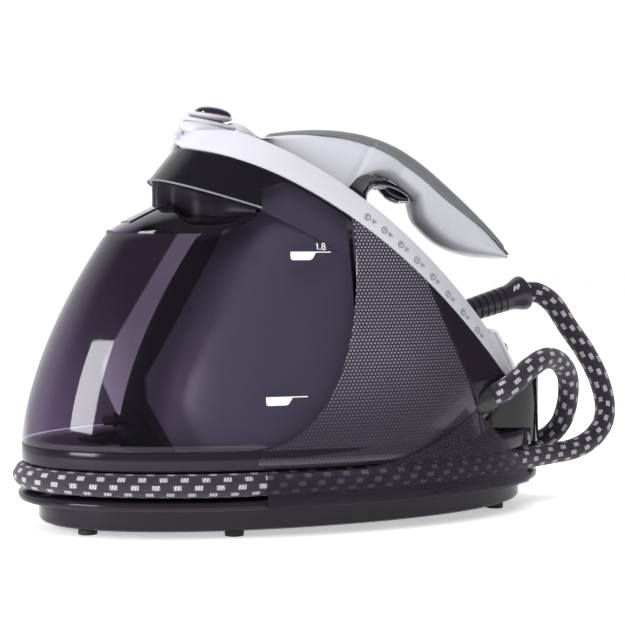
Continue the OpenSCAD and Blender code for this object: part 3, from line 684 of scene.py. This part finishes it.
hood = around(lambda z: xf(z) + 4, fixed(X_HOOD), z_lip, lambda x: z_low(x) - 1, lambda x, z: yb(x, z, 0, 4),
              nu=80, nv=22, p=2.3, cap=10, crown=2.0, it=30)
make("tank_hood_skin", *hood, "tank", "black_gloss", "gloss", ["tank_hood"], bevel=1.2, centre=(-60, 0, 250))
under = around(lambda z: xf(z) + 6, fixed(X_HOOD), lambda x: z_lip(x) + 0.2, lambda x: z_lip(x) + 1.2,
               lambda x, z: yb(x, z, 1, 4), nu=60, nv=1, cap=8, it=30, end=8)
make("hood_ceiling", *under, "tank", "black_gloss", "purple", centre=(-60, 0, 250))


# the finger recess under the hood: a wall with a narrow web along the middle
tip = xf(268) + 13
half = [(tip, 0), (tip + 2, 5), (tip + 12, 8.5), (-100, 11), (-86, 17), (-76, 30), (-66, 46), (-49, 62)]
web = spline([(a, -b, 0) for a, b in reversed(half[1:])] + [(a, b, 0) for a, b in half], 8)


def neck(u, v):
    q = web[min(len(web) - 1, int(round(u * (len(web) - 1))))]
    flare = 1 + 0.10 * (2 * v - 1) ** 2
    x = q[0]
    return (x, q[1] * flare, mix(max(z_crown(x) - 3, 240), z_lip(x) + 1, v))


make("mouth_wall", *grid(neck, len(web) - 1, 10), "tank", "purple_plastic", "mouth", centre=(-20, 0, 255))


def tube(path, r, n=12, squash=1.0):
    """Round bead along a path of points."""
    sec, side = [], Vector((0, 1, 0.1))
    p = [Vector(q) for q in path]
    for i, c in enumerate(p):
        tan = (p[min(i + 1, len(p) - 1)] - p[max(i - 1, 0)]).normalized()
        side = (side - tan * side.dot(tan)).normalized()
        up = tan.cross(side)
        turn = [2 * pi * k / n for k in range(n)]
        sec.append([tuple(c + side * (cos(a) * r) + up * (sin(a) * r * squash)) for a in turn])
    return loft(sec)


# painted highlight: the lighter grey bead along the hood's lower edge stands in for the thin light line there
lip = []
for i in range(-90, 91):
    a, z = abs(i) / 90, 270.0
    for _ in range(30):
        x = xf(z) + 4 + (X_HOOD - xf(z) - 4) * a ** 2.3
        z = z_lip(x)
    lip.append((x, 0 if i == 0 else math.copysign(yb(x, z, 0, 4), i), z + 0.2))
make("mouth_lip_highlight_bead", *tube(lip, 0.6, squash=1.3), "tank", "black_gloss", "grey")


def under_band(u, v):
    """Dark strip along the tank's top edge, under the white rim."""
    x = mix(X_HOOD, X_WALL_END, u)
    deep = mix(15, 2.6, smooth(X_HOOD, -24, x))
    z = z_low(x) - 1 - deep * v
    return (x, -yb(x, z) - 0.25, z)


def both_sides(name, f, nu, nv, slot, mat, z):
    """A near side grid and its mirror image, both on the tank."""
    for s, tag in ((1, "near"), (-1, "far")):
        pts, faces = grid(f, nu, nv)
        make(name + tag, [(a, b * s, c) for a, b, c in pts], faces, "tank", slot, mat, centre=(0, 0, z))


both_sides("tank_band_", under_band, 40, 8, "black_gloss", "gloss", 230)


def shoulder(u, v):
    """Strip behind the top of the tank wall that closes the gap above the core."""
    x = mix(-44, X_WALL_END, u)
    z = z_low(x) - 0.5 - 34 * v
    return (x, -max(2, yb(x, z) - 11.4), z)


both_sides("core_shoulder_", shoulder, 40, 12, "satin_plastic", "satin", 200)


def core_top(x):
    return z_deck(x) - 7 if x < X_HOOD else z_low(x) - 10


core = around(lambda z: xf(z) + 78.5, fixed(27), fixed(69), core_top, lambda x, z: yb(x, z, 12.2, 66.3),
              nu=90, nv=40, p=2.3, cap=6, it=16)
rear_in = around(lambda z: xr(z) - 4, fixed(27), fixed(69), lambda x: z_low(x) - 10,
                 lambda x, z: yb(x, z, 3.6), nu=60, nv=20, p=2.6, cap=6, it=30)
make("core_skin", *join(core, rear_in), "station", "satin_plastic", "satin", ["core_shell"],
     centre=(20, 0, 120))


def x_edge(z):
    inv = -88 + (-0.25 + math.sqrt(0.0625 + 0.0076 * max(0, 300.6 - z))) / 0.0038
    return min(inv, 92 + (190.4 - z) / 2.55)


def panel(s):
    def f(u, v):
        z = mix(58, 245.8, v)
        x = mix(xt(z) + 2.6 if z > 70.5 else xt(70.5) - 6, x_edge(z), u)
        d = 0.6 * smooth(0.985, 1.0, abs(2 * u - 1))
        return (x, s * max(yb(x, max(z, 61)) + 0.9 * smooth(70, 62, z) - d, 0.4), z)
    return grid(f, 80, 90)


for s, tag in ((-1, "near"), (1, "far")):
    make("panel_" + tag, *panel(s), "station", "dotted_panel", "dots", ["side_panel_" + tag], solid=2.6,
         bevel=0.5, centre=(40, 0, 120))

cover = around(xr, lambda z: x_edge(z) + 0.9, fixed(69.1), lambda x: z_low(x) - 0.4, yb,
               nu=80, nv=40, p=2.6, it=40)
make("rear_cover_skin", *cover, "station", "plum_plastic", "plum", ["rear_cover"], solid=2.6, bevel=0.6,
     centre=(120, 0, 110))


def y_block(x):
    return 58 * max(0.0, 1 - (max(0, x - 150) / 73.5) ** 3) ** (1 / 3)


# dark boat tail behind the rear cover
tail = around(lambda z: 226 - 26 * (max(0, z - 90) / 42) ** 1.5, fixed(150), fixed(55.5),
              lambda x: z_low(x) - 3, lambda x, z: y_block(x) + 0.8 if x < 224 else 0,
              nu=60, nv=26, p=2.6, it=40)
make("boat_tail", *tail, "station", "black_gloss", "gloss", ["rear_block"], solid=2.0, bevel=0.6,
     centre=(160, 0, 90))


def y_band(x, z):
    t = clamp((z - z_low(x)) / max(1, z_band(x) - z_low(x)))
    return yb(x, z) + 0.5 * (1 - (2 * t - 1) ** 2)


band = around(xr, fixed(-98), z_low, z_band, y_band, nu=150, nv=10, p=2.4, it=40)
make("platform_rim_skin", *band, "station", "white_plastic", "white", ["platform_rim"], solid=4.5, bevel=1.0,
     seg=4, centre=(50, 0, 200))


# ---- iron ----------------------------------------------------------------
def sole_y(s):
    e = 1 if s < 0.86 else max(0, 1 - (max(0, s - 0.86) / 0.145) ** 2.4) ** (1 / 2.4)
    return 58 * sin(pi / 2 * min(1, s / 0.7)) ** 0.8 * e


def w_deck(u):
    return 30 if u < -20 else 30 - 9 * ((u + 20) / 136) ** 1.2


def y_skirt(u, w, o=0.0):
    t = (w - 20) / 12
    return max(1, sole_y(clamp((u + 118) / 236, 0.012, 0.99)) - 3 - 8 * max(0, t) ** 1.6 - o)


def w_top(u):
    return 103 - 60 * ((30 - u) / 124.5) ** 2.12 if u < 30 else 103 - 11.5 * ((u - 30) / 115) ** 2


def w_under(u):
    if u < -23:
        return 30.1
    if u < 14:
        return 72 - 27 * ((14 - u) / 37) ** 2.6
    if u < 36:
        return 72
    if u < 58:
        return 72 - 13.5 * sin((u - 36) / 22 * pi / 2) ** 1.2
    return 57 + (1.5 * ((76 - u) / 18) ** 2 if u < 76 else 31 * ((u - 76) / 66) ** 1.75)


def y_handle(u, w):
    b = w_under(u)
    h = max(1, w_top(u) - 4.6 - b)
    t, m = clamp((w - b) / h), clamp((u + 30) / 40)
    e = math.sqrt(max(0.05, 1 - ((u - 100) / 46) ** 2)) if u > 100 else 1
    col = max(6, y_skirt(u, 32)) * (1 - t) ** 0.75 + 15 * t ** 0.6
    han = 20 * e * (0.45 + 0.55 * math.sqrt(max(0, 1 - (2 * t - 1) ** 2)))
    return max(2, col * (1 - m) + han * m)


us = [mix(-109, -23.2, i / 60) for i in range(60)] + [mix(-23, 140, i / 150) for i in range(151)]
sections = []
for u in us:
    b, top = w_under(u), max(w_under(u) + 1, w_top(u) - 3.2)
    h = top - b
    half = []
    for k in range(25):
        t = 0.5 - 0.5 * cos(pi * k / 24)
        w = b + h * t
        r = min(7, h / 2)
        e = 1 - clamp((top - w) / r)
        y = y_handle(u, min(w, w_top(u) - 4.7)) * max(0.0, 1 - e ** 2.4) ** (1 / 2.4)
        if u > -24:
            e = 1 - clamp((w - b) / r)
            y *= max(0.0, 1 - e ** 2.4) ** (1 / 2.4)
        half.append((u, y, w))
    sections.append([(a, -y, c) for a, y, c in half] + [(a, y, c) for a, y, c in reversed(half[1:-1])])
make("handle_skin", *on_park(loft(sections)), "iron", "white_plastic", "shellw", ["handle_shell"], sharp=60)

us = [mix(-97, -20, i / 50) for i in range(50)] + [mix(-20, 140, i / 480) for i in range(481)]
sections = []
for u in us:
    top = max(w_under(u) + 2.2, w_top(u) + 0.3)
    deep = mix(4, 14, clamp((u + 97) / 108)) * mix(1, 0.46, smooth(50, 125, u))
    deep *= 1 - 0.75 * smooth(122, 141, u)
    rib = 0.5 * (0.5 - 0.5 * cos(2 * pi * u / 2.3)) ** 0.7 * smooth(-17, -11, u)
    wide = y_handle(u, max(w_under(u) + 0.5, top - deep - 1)) + 0.6
    if u < -60:
        wide = mix(7.5, wide, smooth(-99, -60, u))
    half = []
    for k in range(13):
        q = pi / 2 * k / 12
        fade = 1 - (k / 12) ** 8
        half.append((u, (wide - rib * 0.6 * fade) * sin(q), top - deep * (1 - cos(q) ** 0.85) - rib * fade))
    ring_pts = [(a, -y, c) for a, y, c in reversed(half)] + half[1:]
    ring_pts += [(u, wide * 0.7, top - deep - 1), (u, -wide * 0.7, top - deep - 1)]
    sections.append(ring_pts)
make("grip_skin", *on_park(loft(sections)), "iron", "grip_grey", "grey", ["grip"], sharp=35)

pts = []
for i in range(-90, 91):
    s = abs(i) / 90
    q = s ** 1.6
    u = mix(-113.5, 115.0, q) if s < 1 else 115.0
    for j in range(9):
        w = mix(20, w_deck(u), j / 8)
        y = y_skirt(u, w)
        pts.append((u, 0.0 if i == 0 else math.copysign(y, i), w))
skirt = (pts, quads(180, 8))
pts = []
for i in range(91):
    u = mix(-113.5, 115.0, (i / 90) ** 1.6)
    y = 0.0 if i == 0 else y_skirt(u, w_deck(u))
    pts += [(u, mix(-y, y, k / 8), w_deck(u)) for k in range(9)]
make("iron_skirt_skin", *on_park(join(skirt, (pts, quads(90, 8)))), "iron", "plum_plastic", "plum",
     ["iron_skirt"], bevel=1.5, centre=park(0, 0, 20))


# ---- strain relief ---------------------------------------------------------
AX = (sin(rad(74)), 0, cos(rad(74)))    # axis of the relief
RELIEF = (165, 0, 166.5)                # its base
profile = [(9.8, -6), (10.0, 0)]
for i in range(6):
    h, r = 4.0 + i * 6.4, 10.2 + i * 0.18
    profile += [(r, h - 0.55), (r - 0.9, h - 0.3), (r - 0.9, h + 0.5), (r + 0.1, h + 0.8)]
profile += [(11.2, 41), (11.6, 44.5), (12.8, 48.5), (14.4, 52.5), (15.3, 55.5), (15.4, 57.4), (14.9, 58.7),
            (13.6, 59), (10.4, 58.6), (9.4, 57), (9.3, 50)]
make("strain_relief", *lathe(profile, RELIEF, AX, 72), "iron", "plum_plastic", "plumsoft",
     ["cord_sleeve"], sharp=50)


def pebble(c, half, tilt=0.0, n=(2.2, 2.0), nu=48, nv=24, lift=0.0):
    """Smooth closed bead shape: superellipse in plan and section, tilted about Y."""
    pts, ct, st = [], cos(rad(tilt)), sin(rad(tilt))
    sg = lambda v, e: math.copysign(abs(v) ** e, v)
    for i in range(nu):
        for j in range(nv + 1):
            a, b = 2 * pi * i / nu, -pi / 2 + pi * j / nv
            k = abs(cos(b)) ** (2 / n[1])
            x, y = half[0] * sg(cos(a), 2 / n[0]) * k, half[1] * sg(sin(a), 2 / n[0]) * k
            z = half[2] * sg(sin(b), 2 / n[1])
            z += lift * (x / half[0]) ** 2
            pts.append((c[0] + x * ct + z * st, c[1] + y, c[2] - x * st + z * ct))
    return pts, quads(nu - 1, nv, 0, True)


axv, lean = Vector(AX), Vector((-AX[2], 0, AX[0])) * 0.62 + Vector((0, -0.78, 0))
for k in (0, 1):
    c = Vector(RELIEF) + axv * (46.5 + 3.2 * k) + lean * (11.9 + 1.1 * k)
    make("relief_window_%d" % k, *pebble(tuple(c), (1.0, 1.6, 2.8), 20, n=(3, 3)),
         "iron", "white_plastic", "white")


def gland_ring(t, n=48):
    a = Vector(park(mix(92, 97, t), 0, 26))
    b = Vector(RELIEF) - axv * 4
    c = a.lerp(b, t)
    up = Vector((0, 1, 0)).cross(axv).normalized()
    out = []
    for k in range(n):
        p = mix(0.62, 1.0, t)
        q = 2 * pi * k / n
        ey = math.copysign(abs(cos(q)) ** p, cos(q)) * mix(10.5, 10.2, t)
        ez = math.copysign(abs(sin(q)) ** p, sin(q)) * mix(7, 10.2, t)
        out.append(tuple(c + Vector((0, 1, 0)) * ey + up * ez))
    return out


make("gland_skin", *loft([gland_ring(i / 14) for i in range(15)]), "iron", "plum_plastic", "plum",
     ["cord_gland"], sharp=60)


# ---- finger gap: liner and trigger ---------------------------------------
outer = [(30, 31), (10, 31.2), (-6, 33), (-18, 37), (-24.2, 44), (-23, 52), (-16, 59.5), (-5, 65.4),
         (8, 69.3), (20, 71.2), (30, 71.6), (36, 69.5)]
inner = [(30, 32), (20, 37.5), (12, 42), (6, 46.5), (2.6, 51.5), (2.4, 56), (4.8, 61), (9, 65),
         (14.5, 68.3), (21, 70.6), (29, 71.2), (36, 69.2)]
oc, ic = spline([(a, 0, b) for a, b in outer], 8), spline([(a, 0, b) for a, b in inner], 8)


def liner(u, v):
    i = min(len(oc) - 1, int(round(u * (len(oc) - 1))))
    q = 2 * v - 1
    half = mix(21, 15.5, smooth(0.45, 0.8, u))
    k = 1 - math.sqrt(max(0, 1 - q * q))
    c = ic[i].lerp(oc[i], k)
    return park(c[0], half * q, c[2])


make("handle_liner_skin", *grid(liner, len(oc) - 1, 28), "iron", "purple_plastic", "purple", ["handle_liner"],
     centre=park(20, 0, 52), sharp=80)
# painted highlight: a white bead along the edge of the finger hole stands in for the light ring there
hole_highlight_path = [a.lerp(b, 0.17) for a, b in zip(ic, oc)][26:-4]
for s, tag in ((-1, "near"), (1, "far")):
    path = [park(c[0], s * 11.6, c[2]) for c in hole_highlight_path]
    make("liner_highlight_bead_" + tag, *tube(path, 0.75), "iron", "white_plastic", "white")


def trigger_section(t):
    u = mix(5, 38, t)
    mid = 66.5 + 6.2 * t - 3.4 * sin(pi * t) + 1.2 * t * t
    h = 4.6 * sin(pi * clamp(mix(0.1, 0.97, t))) ** 0.6
    return [park(u, 7.4 * math.copysign(abs(cos(a)) ** 0.7, cos(a)),
                 mid + h * math.copysign(abs(sin(a)) ** 0.9, sin(a)))
            for a in [2 * pi * k / 32 for k in range(32)]]


make("trigger_skin", *loft([trigger_section(i / 30) for i in range(31)]), "steam_trigger", "purple_plastic",
     "purple", ["trigger"], sharp=60)
make("trigger_lens", *pebble(park(22.5, 0, 62.9), (7.6, 5.6, 1.8), SLOPE_DEG - 10),
     "steam_trigger", "steel", "silver")
path = [park(u, -8.3, 71.8 + 2.2 * sin(pi * (u - 8) / 30)) for u in range(8, 39)]
make("trigger_frame", *tube(path, 1.0), "iron", "steel", "chrome")


# ---- carry lock cluster -----------------------------------------------------
def white_bead(name, x, z, half, tilt, n, nodes=(), lift=0.0):
    """Bead on the station's middle line."""
    make(name, *pebble((x, 0, z), half, tilt, n=n, lift=lift), "station", "white_plastic", "white", nodes)


white_bead("lock_base", -62, 313.5, (33, 21, 8.5), 15, (2.6, 2.4), ["lock_housing"])
white_bead("lock_petal_low", -67, 322.0, (26, 18.5, 4.2), 11, (2.1, 2.0), lift=1.5)
white_bead("lock_petal_high", -68.5, 329.0, (19, 15.5, 3.4), 7, (2.1, 2.0), lift=1.2)
make("lock_cap", *pebble((-65.5, 0, 332.0), (15.2, 12.4, 5.6), 8, n=(2.1, 2.2)), "carry_lock",
     "purple_plastic", "purple")
white_bead("lock_scoop", -42, 314.5, (15, 17.5, 8.0), 34, (2.3, 2.2))
for k in range(4):
    white_bead("lock_rib_%d" % k, -80 + 8.5 * k, 317.6 - 1.9 * k, (3.1, 19.8 - 0.3 * k, 1.2), 14, (3, 2.4))


# ---- printed marks ------------------------------------------------------------
def ribbon(line, width, y, lift=0.25):
    """Thin printed line on a side skin, from points in the side view."""
    p = []
    for (a, b), (c, d) in zip(line, line[1:]):
        n = max(1, int(math.hypot(c - a, d - b) / 1.5))
        p += [(a + (c - a) * i / n, b + (d - b) * i / n) for i in range(n)]
    p.append(line[-1])
    pts = []
    for i, (x, z) in enumerate(p):
        a, b = p[max(0, i - 1)], p[min(len(p) - 1, i + 1)]
        L = math.hypot(b[0] - a[0], b[1] - a[1]) or 1
        nx, nz = -(b[1] - a[1]) / L * width / 2, (b[0] - a[0]) / L * width / 2
        for k in (-1, 1):
            pts.append((x + nx * k, -y(x + nx * k, z + nz * k) - lift, z + nz * k))
    return pts, quads(len(p) - 1, 1)


def patch(x0, x1, z0, z1, lean, y, lift=0.25):
    def f(u, v):
        z = mix(z0, z1, v)
        r = 1.6 * (1 - math.sqrt(max(0, 1 - (1 - min(1, (z - z0) / 1.6)) ** 2)))
        x = mix(x0 + r, x1 + lean * v - r, u)
        return (x, -y(x, z) - lift, z)
    return grid(f, 16, 8)


def arc(cx, cz, r, a0=0, a1=360, n=14):
    turn = [rad(mix(a0, a1, i / n)) for i in range(n + 1)]
    return [(cx + r * cos(a), cz + r * sin(a)) for a in turn]


marks = [patch(-27, -10, 213.4, 219.6, 4, yb), ribbon([(-27, 219.6), (6, 219.6)], 0.7, yb),
         patch(-54, -37, 102.8, 109, 4, yb), ribbon([(-54, 109), (-21, 109)], 0.7, yb),
         ribbon([(-5.6, 225.4), (-4.6, 226.4), (-4.6, 221.6)], 0.8, yb),
         ribbon([(-2.6, 222.2), (-2.6, 221.5)], 0.9, yb),
         ribbon(arc(0.4, 225.3, 1.15, n=12), 0.7, yb), ribbon(arc(0.4, 222.8, 1.4, n=12), 0.7, yb)]
make("level_marks", *join(*marks), "tank", "white_plastic", "mark")
icons = []
for k in range(8):
    x = mix(40, 137, k / 7)
    z = z_low(x) + 9.5 - 3.0 * smooth(60, 137, x)
    sl = z_low(x + 1) - z_low(x)
    dx, dz = 1 / math.hypot(1, sl), sl / math.hypot(1, sl)
    icons.append(ribbon(arc(x, z, 2.5, n=16), 0.62, y_band, 0.2))
    inner = [(x - 1.2, z - 0.8), (x + 1.2, z + 0.8)] if k % 2 else arc(x, z, 1.1, 20, 250, 8)
    icons.append(ribbon(inner, 0.62, y_band, 0.2))
    for o, L, e in ((4.2, 4.2, 0.9), (4.6, 2.8, -0.9)):
        bar = [(x + dx * d - dz * e, z + dz * d + dx * e) for d in (o, o + L)]
        icons.append(ribbon(bar, 0.8, y_band, 0.2))
make("band_marks", *join(*icons), "station", "grip_grey", "ink")


# ---- carried-over CAD nodes -------------------------------------------------
finish = {"feet": "rubber", "rest_pads": "rubber", "tank_seal": "rubber",
          "base_screws": "steel", "iron_screws": "steel",
          "trigger_pin": "steel", "trigger_lugs": "steel", "boiler": "steel", "boiler_clamps": "steel",
          "soleplate": "chrome", "heater_casting": "alu", "heat_shield": "black", "platform_tray": "black",
          "lock_housing": "white", "carry_lock_slide": "purple",
          "hose_outlet": "black", "mains_inlet": "rubber",
          "pump": "brass", "pump_mounts": "rubber", "solenoid_valve": "brass", "control_board": "board",
          "water_port": "grey", "power_button": "grey", "eco_button": "green", "descale_knob": "black",
          "handle_liner": "purple", "steam_switch": "black", "trigger": "purple"}
for name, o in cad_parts.items():
    mat = M[finish.get(name, "plum")].m
    for i in range(max(1, len(o.material_slots))):
        if o.material_slots:
            o.material_slots[i].material = mat
        else:
            o.data.materials.append(mat)


# ---- floor, light ------------------------------------------------------------
me = bpy.data.meshes.new("floor")
me.from_pydata([(-6, -4, 0), (6, -4, 0), (6, 8, 0), (-6, 8, 0)], [], [(0, 1, 2, 3)])
floor = bpy.data.objects.new("floor", me)
bpy.context.scene.collection.objects.link(floor)
fl = Mat("mat_floor")
fl.set(Base_Color=fl.tint(fl.noise(3), (0.93, 0.93, 0.93, 1), (0.95, 0.95, 0.95, 1)), Roughness=0.6,
       Emission_Color=(1, 1, 1, 1), Emission_Strength=0.5)
me.materials.append(fl.m)

world = bpy.data.worlds.new("world")
bpy.context.scene.world = world
world.use_nodes = True
wt = world.node_tree
wt.nodes.clear()
wo, wb = wt.nodes.new("ShaderNodeOutputWorld"), wt.nodes.new("ShaderNodeBackground")
wc, wsep = wt.nodes.new("ShaderNodeTexCoord"), wt.nodes.new("ShaderNodeSeparateXYZ")
wr = wt.nodes.new("ShaderNodeMapRange")
wr.interpolation_type = "SMOOTHSTEP"
for k, v in (("From Min", 0.05), ("From Max", 0.6), ("To Min", 0.22), ("To Max", 1.3)):
    wr.inputs[k].default_value = v
wt.links.new(wc.outputs["Generated"], wsep.inputs[0])
wt.links.new(wsep.outputs[1], wr.inputs["Value"])
wt.links.new(wr.outputs[0], wb.inputs[1])
wt.links.new(wb.outputs[0], wo.inputs[0])
bpy.context.scene.view_settings.view_transform = "Standard"


def lamp(name, at, to, size, power):
    d = bpy.data.lights.new(name, "AREA")
    d.shape, d.size, d.size_y, d.energy = "RECTANGLE", size[0], size[1], power
    o = bpy.data.objects.new(name, d)
    o.location = at
    o.rotation_euler = (Vector(to) - Vector(at)).to_track_quat("-Z", "Y").to_euler()
    bpy.context.scene.collection.objects.link(o)
    return o


lamp("quad", (-1.047, -0.449, 0.428), (-0.178, -0.062, 0.119), (0.36, 0.42), 8.0)
key = lamp("key", (-0.4, -1.2, 1.9), (0, 0, 0.15), (1.6, 1.0), 33)
key.visible_glossy = False
top = lamp("top", (0.1, 0.5, 2.2), (0, 0, 0.1), (1.4, 1.4), 14)
top.visible_glossy = False
